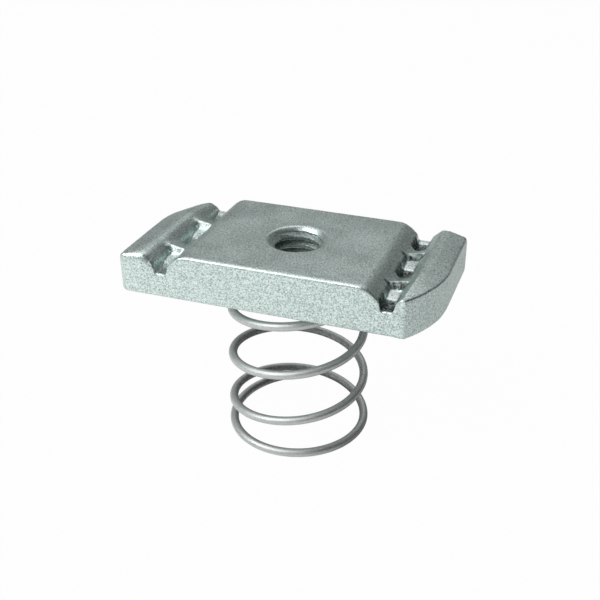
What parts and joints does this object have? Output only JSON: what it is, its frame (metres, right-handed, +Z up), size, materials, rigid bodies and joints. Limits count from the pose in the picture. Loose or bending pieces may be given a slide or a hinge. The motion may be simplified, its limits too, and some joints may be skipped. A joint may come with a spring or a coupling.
{
  "type": "strut channel spring nut",
  "caption": "Toothed steel nut plate with a tapped hole, carried on a coil spring, for fastening to the open side of a strut channel.",
  "frame": {"origin": "on the floor under the tapped hole, where the spring's lower end turn stands", "axes": "+Z up along the tapped hole, out of the toothed side; +X along the plate's length, across the channel's slot; +Y along the grooves"},
  "size_m": [0.035, 0.017, 0.024],
  "materials": {
    "zinc_plated_steel": "satin zinc plate, fine grained",
    "spring_wire": "satin galvanised wire"
  },
  "bodies": {
    "root": {"nut_plate": "zinc_plated_steel", "coil_spring": "spring_wire"}
  },
  "joints": []
}
